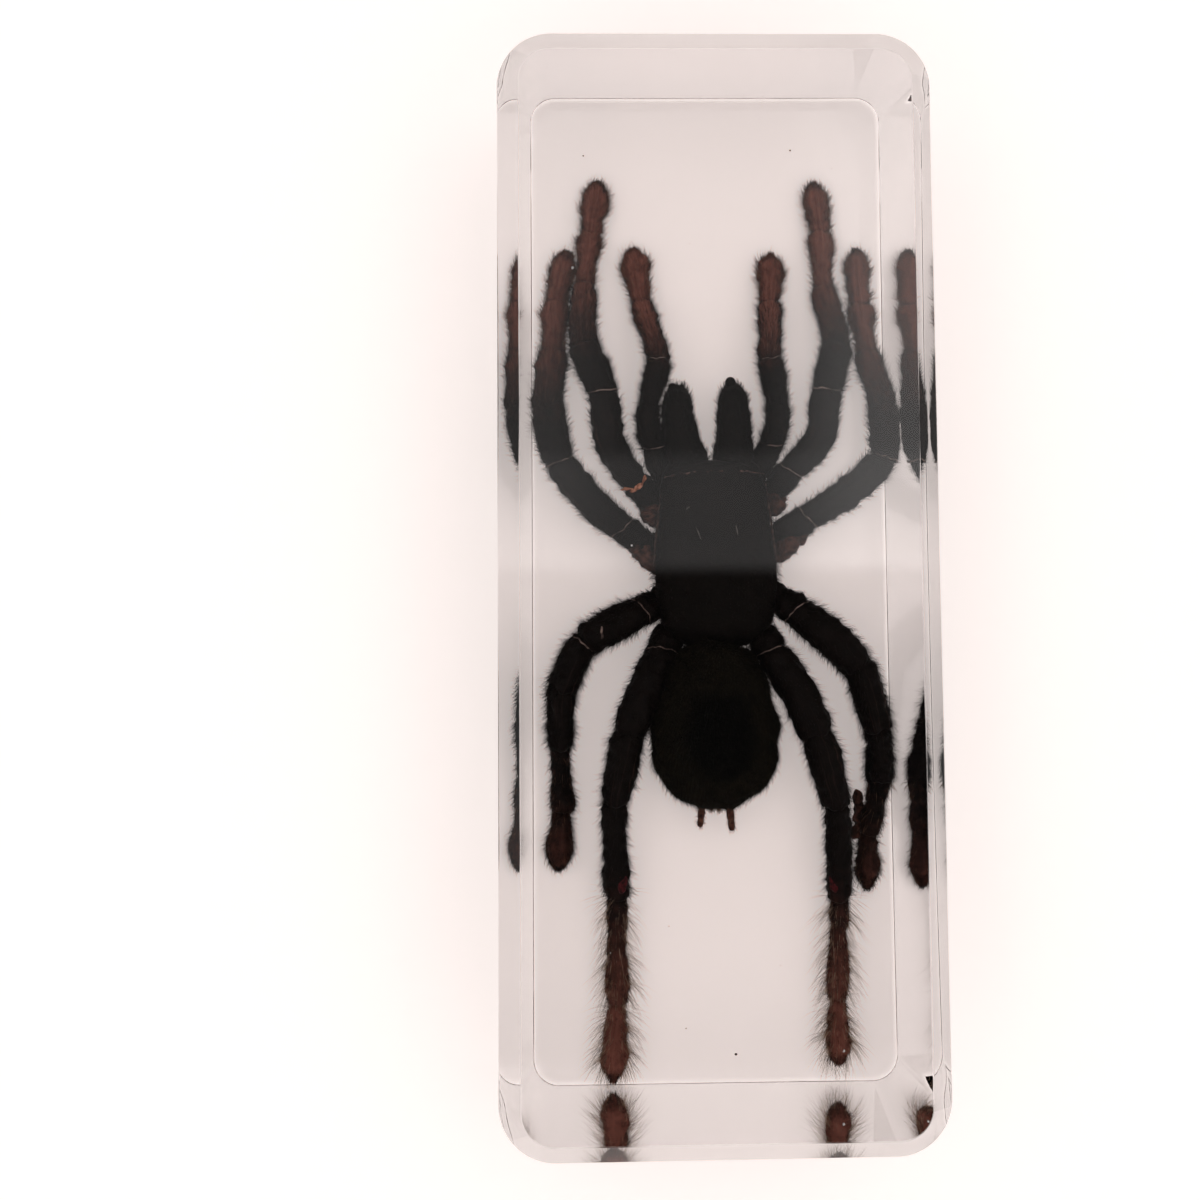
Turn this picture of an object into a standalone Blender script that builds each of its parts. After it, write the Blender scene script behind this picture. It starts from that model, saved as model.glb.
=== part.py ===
"""Clear resin block that a dried tarantula is cast in.

One solid casting. It lies on its smaller face, the base, and is looked at from above
through the larger face, which has a chamfer all round. The four walls lean in from the
widest line, just under the chamfer, down to the base, as they left an open mould.

Metres, +Z up. The origin is the middle of the base, +Y runs along the length towards the
end where the specimen's head points, and +X is across.
"""

import bmesh
import bpy
from math import cos, radians, sin

# Driving dimensions, in metres
LENGTH = 0.1508          # along Y at the widest line
WIDTH = 0.0597           # along X at the widest line
THICKNESS = 0.0250       # base to viewing face
DRAFT_INSET = 0.0039     # how far a wall leans in between the widest line and the base
CHAMFER_WIDTH = 0.0031   # how far the viewing face is set in from the widest line
CHAMFER_DEPTH = 0.0022   # how far the widest line lies below the viewing face
CORNER_RADIUS = 0.0075   # upright corners at the widest line; tighter where the outline is smaller
BASE_ROUND = 0.0003      # small round where the walls meet the base

CORNER_SEGMENTS = 10
BASE_ROUND_SEGMENTS = 2
SHARP_ANGLE = 20         # degrees, past which an edge stays crisp

RESIN_COLOUR = (0.93, 0.91, 0.91, 1.0)
RESIN_ROUGHNESS = 0.04
RESIN_IOR = 1.50


def clear_scene():
    """Remove every object that the file opened with."""
    for obj in list(bpy.data.objects):
        bpy.data.objects.remove(obj, do_unlink=True)


def make_collection(name):
    """A new collection linked under the scene."""
    collection = bpy.data.collections.new(name)
    bpy.context.scene.collection.children.link(collection)
    return collection


def resin_material():
    """Polished, colourless, see-through casting resin."""
    material = bpy.data.materials.new("clear_resin")
    material.use_nodes = True
    shader = material.node_tree.nodes["Principled BSDF"]
    shader.inputs["Base Color"].default_value = RESIN_COLOUR
    shader.inputs["Roughness"].default_value = RESIN_ROUGHNESS
    shader.inputs["Metallic"].default_value = 0.0
    shader.inputs["IOR"].default_value = RESIN_IOR
    shader.inputs["Transmission Weight"].default_value = 1.0
    return material


def add_outline(shape, inset, height):
    """Corners of a rounded rectangle at a height, set in by inset from the widest line.

    The corner arcs keep their centres, so their radius shrinks by the inset.
    """
    radius = CORNER_RADIUS - inset
    middle_x = WIDTH / 2 - CORNER_RADIUS
    middle_y = LENGTH / 2 - CORNER_RADIUS
    outline = []
    for quarter, (side_x, side_y) in enumerate(((1, 1), (-1, 1), (-1, -1), (1, -1))):
        for step in range(CORNER_SEGMENTS + 1):
            angle = radians(90) * (quarter + step / CORNER_SEGMENTS)
            outline.append(shape.verts.new((
                side_x * middle_x + radius * cos(angle),
                side_y * middle_y + radius * sin(angle),
                height,
            )))
    return outline


def make_block(collection):
    """Base, leaning walls, chamfer and viewing face between three outlines."""
    shape = bmesh.new()
    outlines = [
        add_outline(shape, DRAFT_INSET, 0.0),
        add_outline(shape, 0.0, THICKNESS - CHAMFER_DEPTH),
        add_outline(shape, CHAMFER_WIDTH, THICKNESS),
    ]
    for lower, upper in zip(outlines, outlines[1:]):
        for index in range(len(lower)):
            shape.faces.new((lower[index - 1], lower[index], upper[index], upper[index - 1]))
    base = shape.faces.new(reversed(outlines[0]))
    shape.faces.new(outlines[-1])
    bmesh.ops.bevel(
        shape,
        geom=list(base.edges),
        offset=BASE_ROUND,
        offset_type="OFFSET",
        segments=BASE_ROUND_SEGMENTS,
        profile=0.5,
        affect="EDGES",
    )
    bmesh.ops.recalc_face_normals(shape, faces=shape.faces)

    mesh = bpy.data.meshes.new("resin_block")
    shape.to_mesh(mesh)
    shape.free()
    mesh.shade_smooth()
    mesh.set_sharp_from_angle(angle=radians(SHARP_ANGLE))
    mesh.materials.append(resin_material())

    block = bpy.data.objects.new("resin_block", mesh)
    collection.objects.link(block)
    return block


def main():
    clear_scene()
    make_block(make_collection("tarantula_in_resin_block"))


main()
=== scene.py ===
"""Looks of a dried tarantula cast in a clear resin block.

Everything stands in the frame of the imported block: metres, +Z up, the base face on z = 0 and
the specimen's head towards +Y. The specimen's own sizes are in millimetres, and become metres
where a mesh is filled.
"""

from math import pi, radians

import bpy
import numpy as np
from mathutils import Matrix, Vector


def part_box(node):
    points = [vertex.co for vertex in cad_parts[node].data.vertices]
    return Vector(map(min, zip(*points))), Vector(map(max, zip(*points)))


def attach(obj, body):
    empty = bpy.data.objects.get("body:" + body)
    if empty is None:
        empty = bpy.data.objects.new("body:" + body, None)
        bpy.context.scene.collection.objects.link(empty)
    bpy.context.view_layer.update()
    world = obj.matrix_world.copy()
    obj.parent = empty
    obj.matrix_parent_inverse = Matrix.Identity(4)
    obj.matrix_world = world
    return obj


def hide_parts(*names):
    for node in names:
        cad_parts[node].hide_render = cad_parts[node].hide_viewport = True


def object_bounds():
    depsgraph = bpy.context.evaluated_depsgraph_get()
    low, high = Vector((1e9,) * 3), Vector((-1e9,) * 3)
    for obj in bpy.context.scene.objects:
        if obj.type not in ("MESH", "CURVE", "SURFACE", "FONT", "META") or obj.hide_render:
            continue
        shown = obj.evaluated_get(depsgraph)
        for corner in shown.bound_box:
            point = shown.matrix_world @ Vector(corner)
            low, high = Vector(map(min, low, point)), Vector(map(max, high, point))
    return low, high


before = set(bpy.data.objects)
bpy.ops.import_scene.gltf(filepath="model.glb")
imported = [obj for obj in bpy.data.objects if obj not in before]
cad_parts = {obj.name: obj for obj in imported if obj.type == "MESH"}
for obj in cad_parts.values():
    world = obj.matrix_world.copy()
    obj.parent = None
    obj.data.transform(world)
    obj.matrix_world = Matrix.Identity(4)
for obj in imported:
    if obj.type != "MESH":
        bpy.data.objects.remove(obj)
cad_low, cad_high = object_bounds()

MM = 0.001
UP = np.array((0.0, 0.0, 1.0))

# The casting, in millimetres. Length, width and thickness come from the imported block.
BLOCK_LOW, BLOCK_HIGH = (np.array(corner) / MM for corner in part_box("resin_block"))
WIDTH, LENGTH, THICKNESS = BLOCK_HIGH - BLOCK_LOW
WALL_INSET = 3.9         # how far a wall leans in from the widest line to the base
CHAMFER_WIDTH = 3.1
CHAMFER_DEPTH = 2.2
CORNER_RADIUS = 7.5      # at the widest line; tighter wherever the outline is smaller
EDGE_RADIUS = 0.45       # polish on the chamfer's two edges
BASE_RADIUS = 0.15
CORNER_STEPS = 32

# Each limb from the body out: x, y, z and the limb's width there, in millimetres, at the
# coxa's end, trochanter's end, middle of the femur, knee, patella's end, tibia's end,
# metatarsus's end and tip. A palp has no metatarsus.
LEGS = {
    "leg_1_left": (
        (-8.1, 10.8, 5.5, 3.6), (-11.1, 14.0, 6.5, 3.9), (-14.4, 19.3, 8.2, 4.0),
        (-15.5, 26.9, 8.8, 4.0), (-18.3, 33.8, 7.4, 4.1), (-18.1, 43.0, 4.2, 2.8),
        (-17.2, 50.7, 1.9, 2.8), (-16.0, 58.4, 1.5, 3.6)),
    "leg_1_right": (
        (8.5, 12.1, 5.5, 3.6), (11.5, 15.7, 6.5, 3.9), (15.1, 19.4, 8.2, 3.9),
        (16.4, 26.9, 8.8, 4.0), (18.3, 33.6, 7.4, 3.9), (16.7, 42.4, 4.2, 3.0),
        (16.8, 50.8, 1.9, 2.9), (15.9, 58.2, 1.5, 3.2)),
    "leg_2_left": (
        (-9.2, 5.1, 5.5, 3.6), (-13.0, 7.5, 6.5, 4.1), (-18.0, 12.0, 8.0, 4.1),
        (-21.8, 16.9, 8.5, 4.1), (-23.5, 24.8, 7.2, 4.3), (-22.7, 33.1, 4.4, 3.7),
        (-22.3, 40.7, 1.9, 3.2), (-20.8, 48.2, 1.4, 3.1)),
    "leg_2_right": (
        (9.6, 6.4, 5.5, 3.6), (13.8, 8.8, 6.5, 3.9), (19.4, 12.3, 8.0, 3.9),
        (24.6, 17.2, 8.5, 3.9), (24.8, 24.9, 7.2, 3.9), (22.9, 32.9, 4.4, 3.1),
        (22.5, 40.0, 1.9, 3.0), (22.0, 48.2, 1.4, 3.1)),
    "leg_3_left": (
        (-8.2, -3.5, 5.5, 3.9), (-10.4, -4.4, 6.5, 4.4), (-14.6, -6.4, 8.4, 4.6),
        (-18.5, -8.6, 8.8, 3.9), (-21.7, -15.3, 7.2, 3.9), (-21.9, -23.7, 4.4, 2.9),
        (-21.7, -33.0, 1.9, 2.8), (-22.4, -41.0, 1.5, 3.8)),
    "leg_3_right": (
        (9.7, -2.9, 5.5, 3.9), (12.0, -4.6, 6.5, 4.6), (16.4, -8.3, 8.4, 4.7),
        (20.5, -12.5, 8.8, 4.4), (23.2, -21.6, 7.0, 3.7), (23.7, -28.7, 4.4, 3.3),
        (22.2, -36.7, 1.9, 2.5), (22.0, -44.1, 1.4, 3.1)),
    "leg_4_left": (
        (-5.8, -7.1, 5.5, 4.2), (-7.3, -10.1, 6.5, 4.7), (-9.9, -15.5, 8.8, 4.7),
        (-12.3, -21.5, 9.2, 4.5), (-14.3, -31.3, 7.5, 3.6), (-14.0, -44.8, 4.0, 3.1),
        (-14.1, -60.2, 1.9, 2.6), (-14.7, -70.4, 1.5, 3.6)),
    "leg_4_right": (
        (6.5, -7.2, 5.5, 4.2), (8.3, -10.3, 6.5, 4.8), (11.7, -15.8, 8.8, 4.8),
        (14.4, -22.0, 9.2, 4.7), (17.1, -32.1, 7.5, 3.7), (17.6, -45.5, 4.0, 3.0),
        (17.3, -59.8, 1.9, 2.4), (17.3, -68.5, 1.5, 3.3)),
    "palp_left": (
        (-7.0, 15.1, 5.5, 3.4), (-8.2, 19.1, 6.0, 3.4), (-9.2, 22.4, 7.2, 2.9),
        (-8.9, 25.4, 7.8, 2.7), (-7.4, 31.5, 7.2, 3.1), (-9.8, 40.5, 2.8, 2.8),
        (-11.0, 48.5, 1.8, 3.9)),
    "palp_right": (
        (6.7, 15.5, 5.5, 3.4), (8.7, 19.5, 6.0, 3.4), (9.5, 22.3, 7.2, 2.9),
        (9.5, 25.3, 7.8, 2.9), (8.6, 31.4, 7.2, 3.2), (9.1, 40.4, 2.8, 2.8),
        (9.4, 47.6, 1.8, 3.6)),
}
BODY_MIDDLE = np.array((0.3, 3.0, 4.6))
COXA_LENGTH = 4.2
LIMB_ROWS = LIMB_COLUMNS = 44
FOOT_FLOOR = 0.35        # lowest that a foot reaches over the base face


# ---- curves and fields

def flow_through(at, stops, values):
    """Cubic Hermite curve through the values at rising stops, its slopes taken from the
    neighbouring values on each side, read at every place in the array at."""
    at, stops, values = (np.asarray(numbers, float) for numbers in (at, stops, values))
    flat = values.reshape(len(stops), -1)
    slopes = np.gradient(flat, stops, axis=0)
    left = np.clip(np.searchsorted(stops, at, side="right") - 1, 0, len(stops) - 2)
    gap = stops[left + 1] - stops[left]
    part = ((at - stops[left]) / gap)[:, None]
    gap = gap[:, None]
    curve = (
        (2 * part**3 - 3 * part**2 + 1) * flat[left]
        + (part**3 - 2 * part**2 + part) * gap * slopes[left]
        + (3 * part**2 - 2 * part**3) * flat[left + 1]
        + (part**3 - part**2) * gap * slopes[left + 1]
    )
    return curve.reshape((len(at),) + values.shape[1:])


def unit(vectors):
    """Vectors along the last axis, scaled to length one."""
    length = np.linalg.norm(vectors, axis=-1, keepdims=True)
    return vectors / np.maximum(length, 1e-9)


def ripple(points, size, seed, waves=20):
    """A smooth field between about -1 and 1: plane sine waves in seeded directions, whose
    wavelengths lie around size, added and divided by the root of half their number."""
    rng = np.random.default_rng(seed)
    direction = unit(rng.normal(size=(waves, 3)))
    pace = 2 * pi / (size * rng.uniform(0.7, 1.6, waves))
    phase = rng.uniform(0, 2 * pi, waves)
    total = np.zeros(points.shape[:-1])
    for heading, rate, start in zip(direction, pace, phase):
        total += np.sin(points @ heading * rate + start)
    return total / (waves / 2) ** 0.5


def smooth_step(low, high, value):
    """0 below low, 1 above high, and 3x^2 - 2x^3 between."""
    share = np.clip((value - low) / (high - low), 0, 1)
    return share * share * (3 - 2 * share)


# ---- meshes

def fill_mesh(name, points, quads, triangles, corner_uv=None, normals=None):
    """Puts arrays of points in millimetres, quads and triangles into a new mesh in metres.
    corner_uv holds one pair for each corner, the quads' first."""
    mesh = bpy.data.meshes.new(name)
    quads = np.asarray(quads, np.int32).reshape(-1, 4)
    triangles = np.asarray(triangles, np.int32).reshape(-1, 3)
    corners = np.concatenate((quads.ravel(), triangles.ravel()))
    sides = np.repeat((4, 3), (len(quads), len(triangles)))
    mesh.vertices.add(len(points))
    mesh.loops.add(len(corners))
    mesh.polygons.add(len(sides))
    mesh.vertices.foreach_set("co", (np.asarray(points) * MM).astype(np.float32).ravel())
    mesh.loops.foreach_set("vertex_index", corners)
    mesh.polygons.foreach_set("loop_start", np.concatenate(([0], np.cumsum(sides)[:-1])))
    if corner_uv is not None:
        layer = mesh.uv_layers.new(name="along")
        layer.data.foreach_set("uv", corner_uv.astype(np.float32).ravel())
    mesh.update(calc_edges=True)
    mesh.validate()
    mesh.shade_smooth()
    if normals is not None:
        mesh.normals_split_custom_set_from_vertices(normals.astype(np.float32).tolist())
    return mesh


def show(mesh, finish):
    """Makes a finished mesh a piece of the object that keeps to the block."""
    piece = bpy.data.objects.new(mesh.name, mesh)
    bpy.context.scene.collection.objects.link(piece)
    mesh.materials.append(bpy.data.materials[finish])
    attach(piece, "root")
    return piece


def signed_volume(points, quads, triangles):
    """Sum over the faces of corner . (corner x corner) / 6, positive when faces point out."""
    halves = np.concatenate((quads[:, [0, 1, 2]], quads[:, [0, 2, 3]], triangles))
    a, b, c = (points[halves[:, corner]] for corner in range(3))
    return np.einsum("ij,ij->", a, np.cross(b, c)) / 6


class Skin:
    """A closed surface of rings: grid[row, column] holds points, each ring closes on itself,
    and the first and last rings draw in to a pole. along runs from 0 to 1 down the rows."""

    def __init__(self, grid, along=None):
        self.grid = grid
        self.along = np.linspace(0, 1, len(grid)) if along is None else along

    def normals(self):
        """Cross product of the differences along and around, turned to point outwards."""
        around = np.roll(self.grid, -1, axis=1) - np.roll(self.grid, 1, axis=1)
        down = np.gradient(self.grid, axis=0)
        normal = unit(np.cross(down, around))
        middle = self.grid.mean(axis=1, keepdims=True)
        facing = np.einsum("rck,rck->", normal, self.grid - middle)
        return normal if facing > 0 else -normal

    def roughen(self, amount, size, seed):
        """Moves each point along its normal by amount times a ripple of that size."""
        self.grid = self.grid + self.normals() * (amount * ripple(self.grid, size, seed))[..., None]
        return self

    def parts(self):
        """points, quads, triangles and each corner's (round, along) pair."""
        rows, columns = self.grid.shape[:2]
        points = np.concatenate((self.grid.reshape(-1, 3), self.grid[[0, -1]].mean(axis=1)))
        row, column = (index.ravel() for index in np.indices((rows - 1, columns)))
        at_row = np.stack((row, row, row + 1, row + 1), axis=1)
        at_column = np.stack((column, column + 1, column + 1, column), axis=1)
        quads = at_row * columns + at_column % columns
        quad_uv = np.stack((at_column / columns, self.along[at_row]), axis=-1)
        first = np.arange(columns)
        triangles, triangle_uv = [], []
        for pole, ring, near, far in (
                (rows * columns, 0, first + 1, first),
                (rows * columns + 1, rows - 1, first, first + 1)):
            edge = ring * columns + np.stack((near, far), axis=1) % columns
            triangles.append(np.column_stack((np.full(columns, pole), edge)))
            turn = np.stack((first + 0.5, near, far), axis=1) / columns
            triangle_uv.append(np.stack((turn, np.full((columns, 3), self.along[ring])), axis=-1))
        triangles, triangle_uv = np.concatenate(triangles), np.concatenate(triangle_uv)
        if signed_volume(points, quads, triangles) < 0:
            quads, triangles = quads[:, ::-1], triangles[:, ::-1]
            quad_uv, triangle_uv = quad_uv[:, ::-1], triangle_uv[:, ::-1]
        uv = np.concatenate((quad_uv.reshape(-1, 2), triangle_uv.reshape(-1, 2)))
        return points, quads, triangles, uv


def show_skins(name, skins, finish):
    """One piece of several closed skins."""
    several, start = [], 0
    for skin in skins:
        points, quads, triangles, uv = skin.parts()
        several.append(
            (points, quads + start, triangles + start, uv[:quads.size], uv[quads.size:]))
        start += len(points)
    points, quads, triangles, *uv = map(np.concatenate, zip(*several))
    show(fill_mesh(name, points, quads, triangles, np.concatenate(uv)), finish)


def ringed(line, half_wide, half_high, squareness, columns):
    """Rings along a line. Each is a superellipse, side |cos a|^(2/p) times half_wide and
    height |sin a|^(2/p) times half_high with p = squareness, set square to the line."""
    heading = unit(np.gradient(line, axis=0))
    side = unit(np.cross(heading, UP))
    upward = np.cross(side, heading)
    angle = -pi / 2 + 2 * pi * np.arange(columns) / columns
    power = 2 / squareness
    across = np.sign(np.cos(angle)) * np.abs(np.cos(angle)) ** power * half_wide[:, None]
    height = np.sign(np.sin(angle)) * np.abs(np.sin(angle)) ** power * half_high[:, None]
    return line[:, None] + side[:, None] * across[..., None] + upward[:, None] * height[..., None]


def ball(middle, radii, rows=14, columns=24):
    """An ellipsoid: rings along Y whose radius is the sine of the polar angle."""
    polar = np.linspace(0.02, pi - 0.02, rows)
    line = np.zeros((rows, 3))
    line[:, 1] = -np.cos(polar) * radii[1]
    round_radius = np.sin(polar)
    return Skin(ringed(
        line + middle, round_radius * radii[0], round_radius * radii[2], 2.0, columns))


# ---- hair

ROOT_DEPTH = 0.05        # how far under the skin a hair starts


def comb(skin, count, rng, length, lean, thickness, down_weight=np.ones_like,
         round_weight=np.ones_like, bent=True, sway=0.25, flow=1.0):
    """Hairs rooted at random on a skin. Each is a three-sided spike that leaves the skin at
    lean radians from its normal towards the far end of the rows, and a bent one has one more
    ring half way, after which it leans over further. Returns points and triangles."""
    rows, columns = skin.grid.shape[:2]
    ring_size = np.linalg.norm(skin.grid - np.roll(skin.grid, 1, axis=1), axis=-1).sum(axis=1)
    step = np.linalg.norm(np.gradient(skin.grid, axis=0), axis=-1).mean(axis=1)
    chance = down_weight(skin.along) * ring_size * step
    row = rng.choice(rows, count, p=chance / chance.sum())
    angle = 2 * pi * np.arange(columns) / columns
    sides = round_weight(angle)
    column = rng.choice(columns, count, p=sides / sides.sum())
    next_row = np.clip(row + rng.integers(0, 2, count) * 2 - 1, 0, rows - 1)
    next_column = (column + 1) % columns
    row_share, column_share = rng.uniform(0, 0.5, (count, 1)), rng.uniform(0, 1, (count, 1))

    def read(field):
        near, far = (
            field[at, column] * (1 - column_share) + field[at, next_column] * column_share
            for at in (row, next_row))
        return near * (1 - row_share) + far * row_share

    normal = unit(read(skin.normals()))
    root = read(skin.grid) - normal * ROOT_DEPTH
    tip_ward = unit(read(unit(np.gradient(skin.grid, axis=0)))) * flow
    lean_each = lean * rng.uniform(1 - sway, 1 + sway, (count, 1))
    stray = rng.normal(size=(count, 3)) * sway * 0.6
    heading = unit(normal * np.cos(lean_each) + tip_ward * np.sin(lean_each) + stray)
    size = rng.uniform(*length, (count, 1))
    side = unit(np.cross(heading, normal + 0.3 * stray + 1e-3))
    other = np.cross(side, heading)
    thick = thickness * rng.uniform(0.7, 1.2, (count, 1)) / 2
    turn = 2 * pi * np.arange(3) / 3
    rim = [side * np.cos(a) + other * np.sin(a) for a in turn]
    base = [root + edge * thick for edge in rim]
    end = root + heading * size
    if bent:
        middle = root + heading * size * 0.55
        end = middle + unit(heading + tip_ward * 0.45) * size * 0.5
        waist = [middle + edge * thick * 0.7 for edge in rim]
        points = np.stack(base + waist + [end], axis=1)
        plan = (
            (0, 2, 1), (0, 1, 4), (0, 4, 3), (1, 2, 5), (1, 5, 4), (2, 0, 3), (2, 3, 5),
            (3, 4, 6), (4, 5, 6), (5, 3, 6))
    else:
        points = np.stack(base + [end], axis=1)
        plan = ((0, 2, 1), (0, 1, 3), (1, 2, 3), (2, 0, 3))
    triangles = (np.arange(count) * points.shape[1])[:, None, None] + plan
    return points.reshape(-1, 3), triangles.reshape(-1, 3)


def keep_in_block(points, clearance=0.25):
    """Lifts points off the base face and draws them in from the leaning walls, so that no
    hair leaves the resin."""
    points[:, 2] = np.clip(points[:, 2], clearance, THICKNESS - clearance)
    lean = WALL_INSET / (THICKNESS - CHAMFER_DEPTH)
    room = lean * points[:, 2] - WALL_INSET - clearance
    points[:, 0] = np.clip(points[:, 0], -WIDTH / 2 - room, WIDTH / 2 + room)
    points[:, 1] = np.clip(points[:, 1], -LENGTH / 2 - room, LENGTH / 2 + room)
    return points


def show_hair(name, tufts, finish):
    """One piece of several (points, triangles) tufts of hair."""
    starts = np.cumsum([0] + [len(points) for points, _ in tufts[:-1]])
    points = keep_in_block(np.concatenate([points for points, _ in tufts]))
    triangles = np.concatenate([faces + start for (_, faces), start in zip(tufts, starts)])
    show(fill_mesh(name, points, [], triangles), finish)


# ---- materials

def math_node(operation):
    """An operator that adds a Math node."""
    return lambda self, other: self.shader.add(
        "ShaderNodeMath", {"operation": operation}, {0: self, 1: other})


class Value:
    """A node's output that Python arithmetic turns into Math nodes."""

    def __init__(self, shader, socket):
        self.shader, self.socket = shader, socket

    __add__ = __radd__ = math_node("ADD")
    __sub__ = math_node("SUBTRACT")
    __mul__ = __rmul__ = math_node("MULTIPLY")


class Shader:
    """A material or a world being written, and the nodes added to it by one method. Sockets
    of a material's Principled BSDF are named with underscores for spaces."""

    def __init__(self, name, owners=bpy.data.materials, **plain):
        self.owner = owners.new(name)
        self.owner.use_nodes = True
        self.nodes, self.links = self.owner.node_tree.nodes, self.owner.node_tree.links
        self.paint(**plain)

    def add(self, kind, settings=None, inputs=None, output=0):
        """A node of a kind: its settings first, then its sockets' values or links."""
        node = self.nodes.new(kind)
        for key, value in (settings or {}).items():
            setattr(node, key, value)
        for key, value in (inputs or {}).items():
            self.feed(node.inputs[key], value)
        return Value(self, node.outputs[output])

    def feed(self, socket, value):
        """Links a value to a socket, or sets the socket to a plain number or colour."""
        if isinstance(value, Value):
            self.links.new(value.socket, socket)
        else:
            socket.default_value = value

    def paint(self, **sockets):
        """Feeds the Principled BSDF's sockets."""
        for socket, value in sockets.items():
            self.feed(self.nodes["Principled BSDF"].inputs[socket.replace("_", " ")], value)

    def split(self, vector):
        """x, y and z of a vector."""
        parts = self.nodes.new("ShaderNodeSeparateXYZ")
        self.feed(parts.inputs[0], vector)
        return [Value(self, socket) for socket in parts.outputs]

    def place(self):
        """Object coordinates: metres in the block's frame."""
        return self.add("ShaderNodeTexCoord", output="Object")

    def cloud(self, size, detail=3.0, roughness=0.55):
        """Noise about 0 to 1 whose lumps are size metres across."""
        return self.add("ShaderNodeTexNoise", {}, {
            "Vector": self.place(), "Scale": 1 / size, "Detail": detail, "Roughness": roughness})

    def step(self, value, low, high):
        """0 at low and 1 at high, smoothly between."""
        return self.add(
            "ShaderNodeMapRange", {"interpolation_type": "SMOOTHSTEP"},
            {"Value": value, "From Min": low, "From Max": high})

    def blend(self, share, first, second):
        """Mixes two colours by a share."""
        return self.add("ShaderNodeMix", {"data_type": "RGBA"}, {0: share, 6: first, 7: second}, 2)

    def bump(self, height, depth):
        """Bump of a height field, depth in metres between 0 and 1."""
        self.paint(Normal=self.add(
            "ShaderNodeBump", {}, {"Height": height, "Distance": depth, "Strength": 1.0}))


def clear_resin():
    """Polished casting resin: plain transmission, and a faint warm absorption inside."""
    shader = Shader(
        "clear_resin",
        Base_Color=(1.0, 1.0, 1.0, 1.0), Roughness=0.0, IOR=1.5, Transmission_Weight=1.0)
    tint = shader.add(
        "ShaderNodeVolumeAbsorption", {}, {"Color": (0.75, 0.47, 0.42, 1.0), "Density": 3.6})
    shader.feed(shader.nodes["Material Output"].inputs["Volume"], tint)


def leg_cuticle():
    """Leg skin: near black by the body, red-brown towards the foot, with lengthwise streaks
    and mottling, drawn on the limb's own round and along coordinates."""
    shader = Shader("leg_cuticle", Roughness=0.5, Specular_IOR_Level=0.06)
    around, along, _ = shader.split(shader.add("ShaderNodeUVMap", {"uv_map": "along"}))
    drawn = shader.add("ShaderNodeCombineXYZ", {}, {0: around * 9.0, 1: along * 2.0})
    streak = shader.add("ShaderNodeTexNoise", {}, {"Vector": drawn, "Scale": 2.2, "Detail": 4.0})
    mottle = shader.cloud(0.0016)
    grain = shader.cloud(0.00022, 2.0)
    foot = shader.step(along + (mottle - 0.5) * 0.16, 0.50, 0.92)
    dark = shader.blend(mottle, (0.0012, 0.0008, 0.0006, 1), (0.0065, 0.0032, 0.0024, 1))
    brown = shader.blend(streak, (0.075, 0.025, 0.018, 1), (0.30, 0.11, 0.078, 1))
    skin = shader.blend(foot, dark, brown)
    pale = shader.step(streak, 0.62, 0.80) * 0.3
    skin = shader.blend(pale, skin, (0.12, 0.065, 0.05, 1))
    shader.bump(streak * 0.6 + grain * 0.4, 0.00012)
    shader.paint(Base_Color=skin, Roughness=0.42 + mottle * 0.25)


def body_cuticle():
    """Carapace and jaws: black-brown felted skin with a little lighter dust."""
    shader = Shader("body_cuticle", Roughness=0.5, Specular_IOR_Level=0.06)
    mottle = shader.cloud(0.0024)
    felt = shader.cloud(0.00035, 4.0, 0.7)
    tone = shader.blend(mottle, (0.0010, 0.0007, 0.0005, 1), (0.0060, 0.0038, 0.0028, 1))
    tone = shader.blend(shader.step(felt, 0.52, 0.75) * 0.4, tone, (0.014, 0.009, 0.007, 1))
    shader.bump(felt, 0.00012)
    shader.paint(Base_Color=tone, Roughness=0.5 + mottle * 0.2)


def outside_oval(shader):
    """0 inside the dark oval over the abdomen's hind middle, 1 outside it: a smooth step of
    the sum of the squared distances from its centre, in half widths, with a ragged edge."""
    x, y, _ = shader.split(shader.place())
    oval_x = (x - 0.0003) * 190.0
    oval_y = (y + 0.0215) * 150.0
    ragged = (shader.cloud(0.003) - 0.5) * 0.6
    return shader.step(oval_x * oval_x + oval_y * oval_y + ragged, 0.45, 1.25)


def abdomen_skin():
    """Abdomen: olive-black velvet that is darker in an oval over its hind middle."""
    shader = Shader("abdomen_skin", Roughness=0.7, Specular_IOR_Level=0.05)
    mottle = shader.cloud(0.003)
    felt = shader.cloud(0.0003, 4.0, 0.7)
    olive = shader.blend(mottle, (0.0030, 0.0024, 0.0012, 1), (0.0095, 0.0072, 0.0038, 1))
    tone = shader.blend(outside_oval(shader), (0.0010, 0.0010, 0.0005, 1), olive)
    tone = shader.blend(shader.step(felt, 0.5, 0.8) * 0.4, tone, (0.016, 0.012, 0.007, 1))
    shader.bump(felt, 0.0002)
    shader.paint(Base_Color=tone, Roughness=0.65 + mottle * 0.2)


def soft_skin(name, dark, light, size=0.0007):
    """Thin skin at the joints or a torn edge: two tones in fine blotches."""
    shader = Shader(name, Roughness=0.45, Specular_IOR_Level=0.08)
    blotch = shader.cloud(size, 3.0)
    shader.bump(blotch, 0.00008)
    shader.paint(
        Base_Color=shader.blend(shader.step(blotch, 0.3, 0.7), (*dark, 1), (*light, 1)),
        Roughness=0.35 + blotch * 0.3,
    )


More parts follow.
